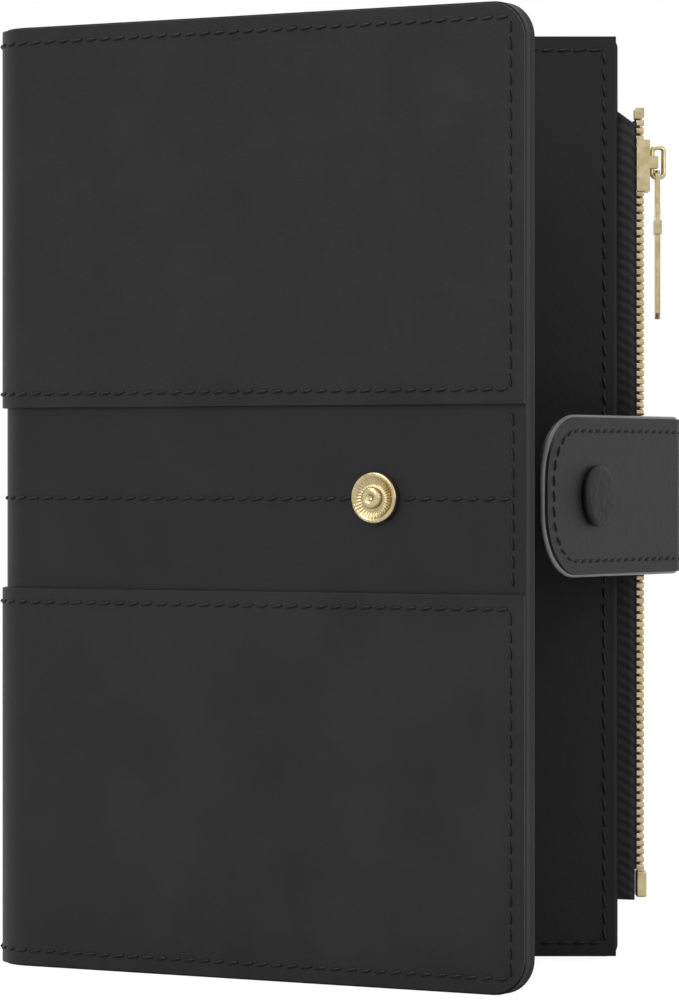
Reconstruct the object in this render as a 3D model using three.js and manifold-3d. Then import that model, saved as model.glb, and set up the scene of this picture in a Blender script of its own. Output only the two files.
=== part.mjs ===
// A travel document wallet, standing on its lower edge with the front cover part open.
// Millimetres, +Z up. X runs along the back cover towards the zip, and -Y faces the reader.
// The origin is on the floor, in the middle of the back cover's thickness.
import * as THREE from "three";
import { mergeVertices } from "three/addons/utils/BufferGeometryUtils.js";
import Module from "manifold-3d";

const wasm = await Module();
wasm.setup();

// Cover: one sheet of leather with wrapped pocket panels outside
const COVER_HEIGHT = 150;
const BACK_LEATHER = 1.6; // back and spine
const FRONT_LEATHER = 1.4;
const FRONT_LINING = 1.4;
const PANEL_LEATHER = 0.7;
const LAYER_GAP = 0.1; // glue line between two layers
const FRONT_LENGTH = 90; // from the hinge to the free edge
const CORNER_RADIUS = 5.5;
const BACK_RIGHT = 47.9; // x of the back half's free edge
const OPEN_ANGLE = 30; // degrees between the covers

// Spine: a rounded back between the covers
const SPINE_RADIUS = 7.2; // outside of the cover leather
const SPINE_FLAT = 3.2; // straight stretch between the two bends
const SPINE_X = -43.5; // x of both bend centres
const BEND_STEP = 9; // degrees for each facet of a bend
const HINGE_CLEARANCE = 0.3; // at the outer skin
const HINGE_BEVEL = Math.tan(THREE.MathUtils.degToRad(15)); // room for the cover to swing in

// Bands that the outer pocket panels cover
const PANEL_INSET = 0.3; // from the cover's upper and lower edge
const UPPER_PANEL_EDGE = 89.2;
const LOWER_PANEL_EDGE = 60.4;

// Passport sleeve inside the front cover
const SLEEVE_LEATHER = 0.8;
const SLEEVE_START = 26;
const SLEEVE_INSET = 2;
const SLEEVE_SEAM = 3; // width of the strip that the sleeve is sewn on
const SLEEVE_ROOM = 0.5;

// Zip pocket on the back cover
const POCKET_LEFT = -40;
const POCKET_INSET = 0.5; // from the cover's upper and lower edge
const POCKET_PANEL = 1.4;
const POCKET_ROOM = 3.6;
const POCKET_CORNER = 2;
const GUSSET_WIDTH = 1.5;

// Zip chain, in the mouth of the pocket
const CHAIN_NEAR = 50.75; // x of the teeth's inner side
const TOOTH_THICKNESS = 1.45;
const TOOTH_PITCH = 1.27; // along one row
const TOOTH_HEIGHT = 0.62; // along the chain
const TOOTH_TIP = 0.45; // from the chain's middle
const TOOTH_ROOT = 2.0;
const TOOTH_BASE = 2.6;
const CHAIN_START = 14.6;
const CHAIN_END = 136.2;
const TAPE = 0.5;
const TAPE_START = 40; // x inside the pocket
const TAPE_LOW = 9.6;
const TAPE_HIGH = 138;
const TAPE_CUT = 3.5; // length of the tape's slanted upper corner
const BOTTOM_STOP_LOW = 10;
const BOTTOM_STOP_HIGH = 14.3;
const TOP_STOP_LOW = 136.4;

// Slider
const SLIDER_LOW = 124.5;
const SLIDER_HIGH = 132.8;
const OUTER_WING = 0.75; // thickness
const OUTER_WING_HALF = 3.2; // half its width
const INNER_WING = 0.65;
const INNER_WING_HALF = 1.9;
const WING_CLEARANCE = 0.2;
const FLANGE = 0.4;
const WEB_LOW = 131;
const WEB_HIGH = 132.6;
const WEB_HALF = 0.3;
const CROWN_LOW = 128.3;
const CROWN_HIGH = 130.3;
const CROWN_INSIDE = 0.75; // from the chain's middle to a leg
const CROWN_OUTSIDE = 1.2;
const CROWN_ROOM = 1.1; // from the wing to the crown's top plate
const CROWN_PLATE = 0.4;

// Ring and pull
const WIRE_RADIUS = 0.4;
const RING_LOW = 126.9; // z of the lower wire's centre
const RING_HIGH = 131.7;
const RING_NEAR = 53.65; // x of the straight wire under the crown
const RING_FAR = 55.5;
const RING_CORNER = 0.6;
const EYE_HOLE = 0.75;
const EYE_RADIUS = 1.15;
const TAB_NEAR = 54.1; // x of the pull's inner side
const TAB_THICKNESS = 0.8;
const TAB_NECK = 4.5; // length of the narrow stretch under the eye
const TAB_HALF = 2.0;
const COLLAR_HIGH = 119.8; // the collar under the upper plate
const COLLAR_LOW = 117.6;
const COLLAR_HALF = 2.3;
const COLLAR_RAISE = 0.2;
const BAR_HALF = 1.5;
const BAR_LOW = 103.8;

// Closing strap and its snap
const STRAP_LOW = 62.9;
const STRAP_HIGH = 87.5;
const STRAP_OUTER = 0.9;
const STRAP_LINING = 0.8;
const STRAP_START = 8; // x where the strap is sewn to the back
const FOLD_CENTRE_X = 52.7;
const FOLD_RADIUS = 3.6; // inside
const FOLD_ANGLE = 120.7; // degrees that the strap turns
const STRAP_FRONT = 44; // straight stretch after the fold
const STRAP_TIP_RADIUS = 10;
const SNAP_RUN = 28.3; // from the end of the fold
const SNAP_POST = 1.4;
const SNAP_POST_CLEARANCE = 0.1;
const CAP_RADIUS = 4.8;
const CAP_HEIGHT = 1.5;
const CAP_EDGE = 0.6;
const SOCKET_RADIUS = 4.25;
const SOCKET_HEIGHT = 1.6;
const SOCKET_BORE = 2.1;
const SOCKET_FLOOR = 0.6;
const STUD_U = 64.2; // from the hinge
const STUD_Z = 75;
const STUD_RADIUS = 3.95;
const STUD_RIM = 1.2;
const STUD_HEAD_RADIUS = 1.7;
const STUD_HEIGHT = 2.2;
const RIVET_HEAD_RADIUS = 4;
const RIVET_HEAD = 1.0;
const ROUND_SIDES = 32;

const rad = THREE.MathUtils.degToRad;
const vec2 = (x, y) => new THREE.Vector2(x, y);

// Places that follow from the sizes above
const BACK_OUTSIDE = BACK_LEATHER / 2;
const BACK_INSIDE = -BACK_LEATHER / 2;
const PANEL_SKIN = LAYER_GAP + PANEL_LEATHER;
const REAR_BEND = vec2(SPINE_X, BACK_OUTSIDE - SPINE_RADIUS);
const FRONT_BEND = vec2(SPINE_X, REAR_BEND.y - SPINE_FLAT);
const HINGE_DIRECTION = 270 - OPEN_ANGLE; // from the front bend's centre to the hinge
const SKIN_RADIUS = SPINE_RADIUS + PANEL_SKIN;
const HINGE = vec2(
  FRONT_BEND.x + SKIN_RADIUS * Math.cos(rad(HINGE_DIRECTION)),
  FRONT_BEND.y + SKIN_RADIUS * Math.sin(rad(HINGE_DIRECTION)),
);
const POCKET_FACE = BACK_INSIDE - POCKET_ROOM; // inner side of the pocket's panel
const CHAIN_Y = BACK_INSIDE - POCKET_ROOM / 2;
const CHAIN_FAR = CHAIN_NEAR + TOOTH_THICKNESS;
const WING_NEAR = CHAIN_FAR + 0.15;
const WING_FAR = WING_NEAR + OUTER_WING;
const TAB_FAR = TAB_NEAR + TAB_THICKNESS;
const STRAP_MIDDLE = (STRAP_LOW + STRAP_HIGH) / 2;
const STRAP_TOTAL = STRAP_LINING + LAYER_GAP + STRAP_OUTER;
const FOLD_CENTRE = vec2(FOLD_CENTRE_X, CHAIN_Y);

const leather = new THREE.MeshStandardMaterial({ color: 0x2b2a2c, roughness: 0.55, metalness: 0 });
const lining = new THREE.MeshStandardMaterial({ color: 0x1f1f20, roughness: 0.75, metalness: 0 });
const webbing = new THREE.MeshStandardMaterial({ color: 0x121213, roughness: 0.9, metalness: 0 });
const goldMetal = new THREE.MeshStandardMaterial({ color: 0xd9c48a, roughness: 0.2, metalness: 1 });

// Joins the corners that a geometry repeats, drops empty triangles and turns its faces outwards.
function closed(geometry) {
  const bare = geometry.clone();
  bare.deleteAttribute("normal");
  bare.deleteAttribute("uv");
  const merged = mergeVertices(bare, 1e-4);
  const at = merged.attributes.position.array;
  const from = merged.index.array;
  const faces = [];
  let volume = 0;
  for (let i = 0; i < from.length; i += 3) {
    const [a, b, c] = [from[i], from[i + 1], from[i + 2]];
    if (a === b || b === c || c === a) continue;
    faces.push([a, b, c]);
    const [p, q, r] = [a, b, c].map((k) => new THREE.Vector3(at[3 * k], at[3 * k + 1], at[3 * k + 2]));
    volume += p.dot(q.cross(r)) / 6;
  }
  const turnedOut = volume < 0 ? faces.map(([a, b, c]) => [a, c, b]) : faces;
  return indexed(at, turnedOut.flat());
}

function indexed(positions, index) {
  const geometry = new THREE.BufferGeometry();
  geometry.setAttribute("position", new THREE.Float32BufferAttribute(positions, 3));
  geometry.setIndex(index);
  return geometry;
}

// Turns a closed surface into a solid, for cuts and joins.
function toSolid(geometry) {
  const shut = closed(geometry);
  const vertProperties = new Float32Array(shut.attributes.position.array);
  const triVerts = new Uint32Array(shut.index.array);
  return new wasm.Manifold(new wasm.Mesh({ numProp: 3, vertProperties, triVerts }));
}

// Turns a solid back into a closed surface.
function toGeometry(solid) {
  const mesh = solid.getMesh();
  return indexed(mesh.vertProperties, Array.from(mesh.triVerts));
}

function named(name, geometry, material) {
  const mesh = new THREE.Mesh(geometry, material);
  mesh.name = name;
  return mesh;
}

function cutFrom(geometry, ...tools) {
  let solid = toSolid(geometry);
  for (const tool of tools) solid = solid.subtract(toSolid(tool));
  return toGeometry(solid);
}

function joined(...pieces) {
  let solid = toSolid(pieces[0]);
  for (const piece of pieces.slice(1)) solid = solid.add(toSolid(piece));
  return toGeometry(solid);
}

function common(first, second) {
  return toGeometry(toSolid(first).intersect(toSolid(second)));
}

// A closed outline in the XY plane, raised from low to high.
function raised(outline, low, high) {
  const geometry = new THREE.ExtrudeGeometry(new THREE.Shape(outline), {
    depth: high - low,
    bevelEnabled: false,
  });
  return geometry.translate(0, 0, low);
}

// A shape drawn in X and Z, thickened from y = near to y = far.
function plate(shape, near, far) {
  const geometry = new THREE.ExtrudeGeometry(shape, {
    depth: far - near,
    bevelEnabled: false,
    curveSegments: 6,
  });
  return geometry.rotateX(Math.PI / 2).translate(0, far, 0);
}

// A shape drawn in Y and Z about the chain's middle, thickened from x = near to x = far.
function across(shape, near, far) {
  const geometry = new THREE.ExtrudeGeometry(shape, {
    depth: far - near,
    bevelEnabled: false,
    curveSegments: 10,
  });
  return geometry.rotateX(Math.PI / 2).rotateZ(Math.PI / 2).translate(near, CHAIN_Y, 0);
}

function box(low, high) {
  const size = high.map((v, k) => v - low[k]);
  const middle = high.map((v, k) => (v + low[k]) / 2);
  return new THREE.BoxGeometry(...size).translate(...middle);
}

// A rectangle in X and Z whose right-hand corners can be rounded.
function cornered(left, right, bottom, top, lowRadius, highRadius) {
  const shape = new THREE.Shape();
  shape.moveTo(left, bottom);
  shape.lineTo(right - lowRadius, bottom);
  if (lowRadius > 0) shape.absarc(right - lowRadius, bottom + lowRadius, lowRadius, -Math.PI / 2, 0);
  shape.lineTo(right, top - highRadius);
  if (highRadius > 0) shape.absarc(right - highRadius, top - highRadius, highRadius, 0, Math.PI / 2);
  shape.lineTo(left, top);
  shape.closePath();
  return shape;
}

// The spine's bends and the back cover's straight stretch, at a radius from the bends' centres.
function spineSide(radius) {
  const points = [vec2(BACK_RIGHT, REAR_BEND.y + radius)];
  const arc = (centre, from, to) => {
    const steps = Math.ceil((to - from) / BEND_STEP);
    for (let i = 0; i <= steps; i++) {
      const angle = rad(from + ((to - from) * i) / steps);
      points.push(vec2(centre.x + radius * Math.cos(angle), centre.y + radius * Math.sin(angle)));
    }
  };
  arc(REAR_BEND, 90, 180);
  arc(FRONT_BEND, 180, HINGE_DIRECTION);
  return points;
}

// A layer of the back half: back, spine and the bend as far as the hinge.
function backLayer(inner, outer, low, high) {
  const outline = [...spineSide(outer), ...spineSide(inner).reverse()];
  return raised(outline, low, high);
}

// A layer of the front cover, in its own frame: X from the hinge, Y inwards from the outer skin.
function frontLayer(near, far, low, high, lowRadius, highRadius) {
  const start = HINGE_CLEARANCE + far * HINGE_BEVEL;
  return plate(cornered(start, FRONT_LENGTH, low, high, lowRadius, highRadius), near, far);
}

// A turned solid whose axis points along -Y, from a profile of [radius, height] pairs.
function turned(profile) {
  const points = profile.map(([r, h]) => vec2(r, h));
  return closed(new THREE.LatheGeometry(points, ROUND_SIDES).rotateX(Math.PI));
}

function backHalf() {
  const half = new THREE.Group();
  const panelInside = SPINE_RADIUS + LAYER_GAP;
  const top = COVER_HEIGHT - PANEL_INSET;
  const sheet = backLayer(SPINE_RADIUS - BACK_LEATHER, SPINE_RADIUS, 0, COVER_HEIGHT);
  const upper = backLayer(panelInside, SKIN_RADIUS, UPPER_PANEL_EDGE, top);
  const lower = backLayer(panelInside, SKIN_RADIUS, PANEL_INSET, LOWER_PANEL_EDGE);
  half.add(
    named("cover_back", sheet, leather),
    named("upper_panel_back", upper, leather),
    named("lower_panel_back", lower, leather),
  );
  return half;
}

// The zip pocket's front panel, with a rolled free edge, and the narrow gusset behind it.
function zipPocket() {
  const group = new THREE.Group();
  const front = POCKET_FACE - POCKET_PANEL;
  const low = POCKET_INSET;
  const high = COVER_HEIGHT - POCKET_INSET;
  const outline = [vec2(POCKET_LEFT, front), vec2(POCKET_LEFT, POCKET_FACE)];
  const roll = POCKET_PANEL / 2;
  for (let i = 0; i <= 8; i++) {
    const angle = Math.PI / 2 - (i * Math.PI) / 8;
    const x = BACK_RIGHT - roll + roll * Math.cos(angle);
    outline.push(vec2(x, front + roll + roll * Math.sin(angle)));
  }
  const shape = cornered(POCKET_LEFT - 1, BACK_RIGHT, low, high, POCKET_CORNER, POCKET_CORNER);
  const panel = common(raised(outline, low, high), plate(shape, front - 1, POCKET_FACE + 1));
  group.add(named("inner_panel", panel, leather));

  const near = POCKET_FACE + LAYER_GAP;
  const far = BACK_INSIDE - LAYER_GAP;
  const right = BACK_RIGHT - POCKET_PANEL;
  const frame = box([POCKET_LEFT, near, low], [right, far, high]);
  const room = box(
    [POCKET_LEFT + GUSSET_WIDTH, near - 1, low + GUSSET_WIDTH],
    [right + 1, far + 1, high - GUSSET_WIDTH],
  );
  group.add(named("pocket_gusset", cutFrom(frame, room), leather));
  return group;
}

// One zip tape, from inside the pocket out to the back of its row of teeth. side is -1 for the front.
function zipTape(name, side) {
  const seat = POCKET_ROOM / 2 - TAPE / 2 - 0.05;
  const edge = 2.4; // behind the teeth's bar
  const half = TAPE / 2;
  const line = [
    [TAPE_START, seat - half],
    [BACK_RIGHT + 0.1, seat - half],
    [CHAIN_NEAR - 0.75, edge - half],
    [CHAIN_NEAR - 0.1, edge - half],
    [CHAIN_NEAR - 0.1, edge + half],
    [CHAIN_NEAR - 0.85, edge + half],
    [BACK_RIGHT, seat + half],
    [TAPE_START, seat + half],
  ];
  const outline = line.map(([x, y]) => vec2(x, CHAIN_Y + side * y));
  const whole = raised(outline, TAPE_LOW, TAPE_HIGH);
  const corner = new THREE.Shape();
  corner.moveTo(CHAIN_NEAR - TAPE_CUT, TAPE_HIGH + 0.01);
  corner.lineTo(CHAIN_NEAR + 1, TAPE_HIGH - TAPE_CUT);
  corner.lineTo(CHAIN_NEAR + 1, TAPE_HIGH + 1);
  corner.lineTo(CHAIN_NEAR - TAPE_CUT, TAPE_HIGH + 1);
  corner.closePath();
  return named(name, cutFrom(whole, plate(corner, CHAIN_Y - 9, CHAIN_Y + 9)), webbing);
}

// One row of teeth on its bar, as a comb that lies in the plane of the chain.
function zipTeeth(name, side, offset) {
  const outline = [vec2(side * TOOTH_BASE, CHAIN_START), vec2(side * TOOTH_BASE, CHAIN_END)];
  outline.push(vec2(side * TOOTH_ROOT, CHAIN_END));
  const count = Math.floor((CHAIN_END - CHAIN_START - offset) / TOOTH_PITCH);
  for (let i = count - 1; i >= 0; i--) {
    const low = CHAIN_START + offset + i * TOOTH_PITCH;
    outline.push(vec2(side * TOOTH_ROOT, low + TOOTH_HEIGHT));
    outline.push(vec2(side * TOOTH_TIP, low + TOOTH_HEIGHT));
    outline.push(vec2(side * TOOTH_TIP, low));
    outline.push(vec2(side * TOOTH_ROOT, low));
  }
  outline.push(vec2(side * TOOTH_ROOT, CHAIN_START));
  return named(name, across(new THREE.Shape(outline), CHAIN_NEAR, CHAIN_FAR), goldMetal);
}

function zipper() {
  const group = new THREE.Group();
  group.add(
    zipTape("zip_tape_front", -1),
    zipTape("zip_tape_rear", 1),
    zipTeeth("zip_teeth_front", -1, 0.2),
    zipTeeth("zip_teeth_rear", 1, 0.2 + TOOTH_PITCH / 2),
    named(
      "zip_bottom_stop",
      box(
        [CHAIN_NEAR + 0.15, CHAIN_Y - TOOTH_BASE, BOTTOM_STOP_LOW],
        [CHAIN_FAR + 0.4, CHAIN_Y + TOOTH_BASE, BOTTOM_STOP_HIGH],
      ),
      goldMetal,
    ),
  );
  for (const [name, side] of [["zip_top_stop_front", -1], ["zip_top_stop_rear", 1]]) {
    const ends = [CHAIN_Y + side * TOOTH_ROOT, CHAIN_Y + side * TOOTH_BASE].sort((a, b) => a - b);
    const stop = box([CHAIN_NEAR, ends[0], TOP_STOP_LOW], [CHAIN_FAR, ends[1], TAPE_HIGH]);
    group.add(named(name, stop, goldMetal));
  }
  return group;
}

// The slider: an outer wing with flanges, an inner wing, the web between them and the crown.
function zipSlider() {
  const height = [SLIDER_LOW, SLIDER_HIGH];
  const slab = (x0, x1, y0, y1, z0, z1) => box([x0, CHAIN_Y + y0, z0], [x1, CHAIN_Y + y1, z1]);
  const innerFar = CHAIN_NEAR - 0.25;
  const flangeStart = OUTER_WING_HALF - FLANGE;
  const pieces = [
    slab(WING_NEAR, WING_FAR, -OUTER_WING_HALF, OUTER_WING_HALF, ...height),
    slab(innerFar - INNER_WING, innerFar, -INNER_WING_HALF, INNER_WING_HALF, ...height),
    slab(innerFar - 0.3, WING_NEAR + 0.3, -WEB_HALF, WEB_HALF, WEB_LOW, WEB_HIGH),
    slab(
      WING_FAR + CROWN_ROOM,
      WING_FAR + CROWN_ROOM + CROWN_PLATE,
      -CROWN_OUTSIDE,
      CROWN_OUTSIDE,
      CROWN_LOW,
      CROWN_HIGH,
    ),
  ];
  for (const side of [-1, 1]) {
    const flange = [side * flangeStart, side * OUTER_WING_HALF].sort((a, b) => a - b);
    const leg = [side * CROWN_INSIDE, side * CROWN_OUTSIDE].sort((a, b) => a - b);
    pieces.push(slab(CHAIN_NEAR + WING_CLEARANCE, WING_NEAR + 0.3, ...flange, ...height));
    pieces.push(slab(WING_FAR - 0.3, WING_FAR + CROWN_ROOM + 0.2, ...leg, CROWN_LOW, CROWN_HIGH));
  }
  return named("zip_slider", joined(...pieces), goldMetal);
}

// The ring's wire: straight under the crown, with rounded corners.
function pullRing() {
  const corners = [
    [RING_NEAR, RING_LOW, Math.PI],
    [RING_FAR, RING_LOW, 1.5 * Math.PI],
    [RING_FAR, RING_HIGH, 0],
    [RING_NEAR, RING_HIGH, 0.5 * Math.PI],
  ];
  const path = [];
  for (const [x, z, from] of corners) {
    const centreX = x === RING_NEAR ? RING_NEAR + RING_CORNER : RING_FAR - RING_CORNER;
    const centreZ = z === RING_LOW ? RING_LOW + RING_CORNER : RING_HIGH - RING_CORNER;
    for (let i = 0; i <= 5; i++) {
      const angle = from + (i * Math.PI) / 10;
      path.push({
        at: vec2(centreX + RING_CORNER * Math.cos(angle), centreZ + RING_CORNER * Math.sin(angle)),
        out: vec2(Math.cos(angle), Math.sin(angle)),
      });
    }
  }
  const sides = 12;
  const positions = [];
  const index = [];
  path.forEach(({ at, out }, i) => {
    for (let k = 0; k < sides; k++) {
      const angle = (2 * Math.PI * k) / sides;
      const reach = WIRE_RADIUS * Math.cos(angle);
      positions.push(at.x + out.x * reach, CHAIN_Y + WIRE_RADIUS * Math.sin(angle), at.y + out.y * reach);
      const next = (i + 1) % path.length;
      const [a, b] = [i * sides + k, i * sides + ((k + 1) % sides)];
      const [c, d] = [next * sides + k, next * sides + ((k + 1) % sides)];
      index.push(a, b, d, a, d, c);
    }
  });
  return named("pull_ring", closed(indexed(positions, index)), goldMetal);
}

// The pull: an eye on the ring, a flat upper plate, a collar and a narrow bar.
function pullTab() {
  const shoulder = RING_LOW - TAB_NECK;
  const right = [
    [EYE_RADIUS, shoulder],
    [TAB_HALF, shoulder - 1.2],
    [TAB_HALF, COLLAR_HIGH - 0.4],
    [BAR_HALF, COLLAR_LOW + 0.4],
    [BAR_HALF, BAR_LOW + 1],
    [BAR_HALF - 1, BAR_LOW],
  ];
  const shape = new THREE.Shape();
  shape.absarc(0, RING_LOW, EYE_RADIUS, 0, Math.PI);
  for (const [y, z] of right) shape.lineTo(-y, z);
  for (const [y, z] of [...right].reverse()) shape.lineTo(y, z);
  shape.closePath();
  shape.holes.push(new THREE.Path().absarc(0, RING_LOW, EYE_HOLE, 0, 2 * Math.PI, true));
  const collar = box(
    [TAB_NEAR - COLLAR_RAISE, CHAIN_Y - COLLAR_HALF, COLLAR_LOW],
    [TAB_FAR + COLLAR_RAISE, CHAIN_Y + COLLAR_HALF, COLLAR_HIGH],
  );
  return named("pull_tab", joined(across(shape, TAB_NEAR, TAB_FAR), collar), goldMetal);
}

// The strap's inner face seen from above: stations with a point, an outward direction and a run.
function strapStations() {
  const back = vec2(0, 1);
  const stations = [{ at: vec2(STRAP_START, FOLD_CENTRE.y + FOLD_RADIUS), out: back, run: 0 }];
  const steps = Math.ceil(FOLD_ANGLE / BEND_STEP);
  for (let i = 0; i <= steps; i++) {
    const angle = rad(90 - (FOLD_ANGLE * i) / steps);
    const out = vec2(Math.cos(angle), Math.sin(angle));
    stations.push({ at: FOLD_CENTRE.clone().addScaledVector(out, FOLD_RADIUS), out, run: 0 });
  }
  const start = stations[stations.length - 1];
  const heading = vec2(start.out.y, -start.out.x);
  const tipStart = STRAP_FRONT - STRAP_TIP_RADIUS;
  const runs = [tipStart / 2, tipStart];
  for (let i = 1; i <= 10; i++) runs.push(tipStart + STRAP_TIP_RADIUS * Math.sin((i * Math.PI) / 20));
  for (const run of runs) {
    stations.push({ at: start.at.clone().addScaledVector(heading, run), out: start.out, run });
  }
  return { stations, heading, start };
}

// One layer of the strap, between two distances from its inner face.
function strapLayer(from, to) {
  const { stations } = strapStations();
  const positions = [];
  const index = [];
  stations.forEach(({ at, out, run }, i) => {
    const intoTip = Math.max(run - (STRAP_FRONT - STRAP_TIP_RADIUS), 0);
    const trim = STRAP_TIP_RADIUS - Math.sqrt(Math.max(STRAP_TIP_RADIUS ** 2 - intoTip ** 2, 0));
    const half = (STRAP_HIGH - STRAP_LOW) / 2 - trim;
    const inner = at.clone().addScaledVector(out, from);
    const outer = at.clone().addScaledVector(out, to);
    positions.push(inner.x, inner.y, STRAP_MIDDLE - half, inner.x, inner.y, STRAP_MIDDLE + half);
    positions.push(outer.x, outer.y, STRAP_MIDDLE + half, outer.x, outer.y, STRAP_MIDDLE - half);
    if (i === 0) return;
    for (let k = 0; k < 4; k++) {
      const [a, b] = [4 * i - 4 + k, 4 * i - 4 + ((k + 1) % 4)];
      const [c, d] = [4 * i + k, 4 * i + ((k + 1) % 4)];
      index.push(a, b, d, a, d, c);
    }
  });
  const end = 4 * (stations.length - 1);
  index.push(0, 2, 1, 0, 3, 2, end, end + 1, end + 2, end, end + 2, end + 3);
  return closed(indexed(positions, index));
}

function strap() {
  const group = new THREE.Group();
  const { heading, start } = strapStations();
  const seat = start.at.clone().addScaledVector(heading, SNAP_RUN);
  const turn = Math.atan2(start.out.y, start.out.x) + Math.PI / 2;
  const place = (geometry, along) => {
    const at = seat.clone().addScaledVector(start.out, along);
    return geometry.clone().rotateZ(turn).translate(at.x, at.y, STRAP_MIDDLE);
  };
  const bore = SNAP_POST + SNAP_POST_CLEARANCE;
  const drill = place(turned([[0, -3], [bore, -3], [bore, 6], [0, 6]]), 0);
  group.add(
    named("strap_lining", cutFrom(strapLayer(0, STRAP_LINING), drill), lining),
    named("strap_outer", cutFrom(strapLayer(STRAP_LINING + LAYER_GAP, STRAP_TOTAL), drill), leather),
  );
  const cap = turned([
    [0, -STRAP_TOTAL - 1],
    [SNAP_POST, -STRAP_TOTAL - 1],
    [SNAP_POST, LAYER_GAP],
    [CAP_RADIUS, LAYER_GAP],
    [CAP_RADIUS, CAP_HEIGHT - CAP_EDGE],
    [CAP_RADIUS - CAP_EDGE / 3, CAP_HEIGHT - CAP_EDGE / 3],
    [CAP_RADIUS - CAP_EDGE, CAP_HEIGHT - 0.1],
    [CAP_RADIUS / 2, CAP_HEIGHT],
    [0, CAP_HEIGHT],
  ]);
  group.add(named("snap_cap", place(cap, STRAP_TOTAL), leather));
  const deep = -LAYER_GAP - SOCKET_HEIGHT;
  const socket = turned([
    [SOCKET_BORE, deep],
    [SOCKET_RADIUS - 0.4, deep],
    [SOCKET_RADIUS, deep + 0.4],
    [SOCKET_RADIUS, -LAYER_GAP],
    [bore, -LAYER_GAP],
    [bore, -LAYER_GAP - SOCKET_FLOOR],
    [SOCKET_BORE, -LAYER_GAP - SOCKET_FLOOR],
    [SOCKET_BORE, deep],
  ]);
  group.add(named("snap_socket", place(socket, 0), goldMetal));
  return group;
}

// The stud's dished rim and round head, and the rivet that clenches it through the cover.
function studPieces(coverOutside) {
  const bore = SNAP_POST + SNAP_POST_CLEARANCE;
  const base = LAYER_GAP - coverOutside;
  const stud = turned([
    [bore, base],
    [STUD_RADIUS - 0.3, base],
    [STUD_RADIUS, base + 0.3],
    [STUD_RADIUS, base + STUD_RIM - 0.3],
    [STUD_RADIUS - 0.4, base + STUD_RIM],
    [STUD_RADIUS - 0.8, base + STUD_RIM - 0.2],
    [STUD_HEAD_RADIUS + 0.3, base + 0.7],
    [STUD_HEAD_RADIUS - 0.2, base + 0.9],
    [STUD_HEAD_RADIUS, base + STUD_HEIGHT - 0.8],
    [STUD_HEAD_RADIUS - 0.3, base + STUD_HEIGHT - 0.3],
    [STUD_HEAD_RADIUS / 2, base + STUD_HEIGHT],
    [0, base + STUD_HEIGHT],
    [0, base + 0.5],
    [bore, base + 0.5],
    [bore, base],
  ]);
  const back = -coverOutside - FRONT_LEATHER - LAYER_GAP;
  const rivet = turned([
    [0, back - RIVET_HEAD],
    [RIVET_HEAD_RADIUS - 0.3, back - RIVET_HEAD],
    [RIVET_HEAD_RADIUS, back - RIVET_HEAD + 0.3],
    [RIVET_HEAD_RADIUS, back],
    [SNAP_POST, back],
    [SNAP_POST, base + 0.3],
    [0, base + 0.3],
  ]);
  return [stud, rivet].map((piece) => piece.translate(STUD_U, 0, STUD_Z));
}

// The sleeve that holds the passport's cover: open towards the spine, sewn along its other sides.
function passportSleeve(seatY) {
  const right = FRONT_LENGTH - SLEEVE_INSET;
  const top = COVER_HEIGHT - SLEEVE_INSET;
  const radius = CORNER_RADIUS - SLEEVE_INSET;
  const sheet = plate(
    cornered(SLEEVE_START, right, SLEEVE_INSET, top, radius, radius),
    seatY,
    seatY + SLEEVE_ROOM + SLEEVE_LEATHER,
  );
  const room = box(
    [SLEEVE_START - 1, seatY - 1, SLEEVE_INSET + SLEEVE_SEAM],
    [right - SLEEVE_SEAM, seatY + SLEEVE_ROOM, top - SLEEVE_SEAM],
  );
  return named("passport_sleeve", cutFrom(sheet, room), leather);
}

function frontCover() {
  const cover = new THREE.Group();
  cover.position.set(HINGE.x, HINGE.y, 0);
  cover.rotation.z = -rad(OPEN_ANGLE);
  const outside = PANEL_SKIN;
  const inside = outside + FRONT_LEATHER;
  const liningNear = inside + LAYER_GAP;
  const liningFar = liningNear + FRONT_LINING;
  const post = SNAP_POST + SNAP_POST_CLEARANCE;
  const head = RIVET_HEAD_RADIUS + SNAP_POST_CLEARANCE;
  const drill = (radius) => turned([[0, -9], [radius, -9], [radius, 9], [0, 9]]).translate(STUD_U, 0, STUD_Z);
  const r = CORNER_RADIUS;
  const low = PANEL_INSET;
  const high = COVER_HEIGHT - PANEL_INSET;
  const [stud, rivet] = studPieces(outside);
  cover.add(
    named("cover_front", cutFrom(frontLayer(outside, inside, 0, COVER_HEIGHT, r, r), drill(post)), leather),
    named("cover_lining", cutFrom(frontLayer(liningNear, liningFar, 0, COVER_HEIGHT, r, r), drill(head)), lining),
    named("upper_panel_front", frontLayer(0, PANEL_LEATHER, UPPER_PANEL_EDGE, high, 0, r), leather),
    named("lower_panel_front", frontLayer(0, PANEL_LEATHER, low, LOWER_PANEL_EDGE, r, 0), leather),
    passportSleeve(liningFar + LAYER_GAP),
    named("snap_stud", stud, goldMetal),
    named("stud_rivet", rivet, goldMetal),
  );
  return cover;
}

const wallet = new THREE.Group();
wallet.add(backHalf(), zipPocket(), zipper(), strap(), frontCover(), zipSlider(), pullRing(), pullTab());

export default wallet;
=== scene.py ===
"""Dresses the travel document wallet: leather covers, zip pocket, strap and snap, in a soft white studio."""

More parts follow.
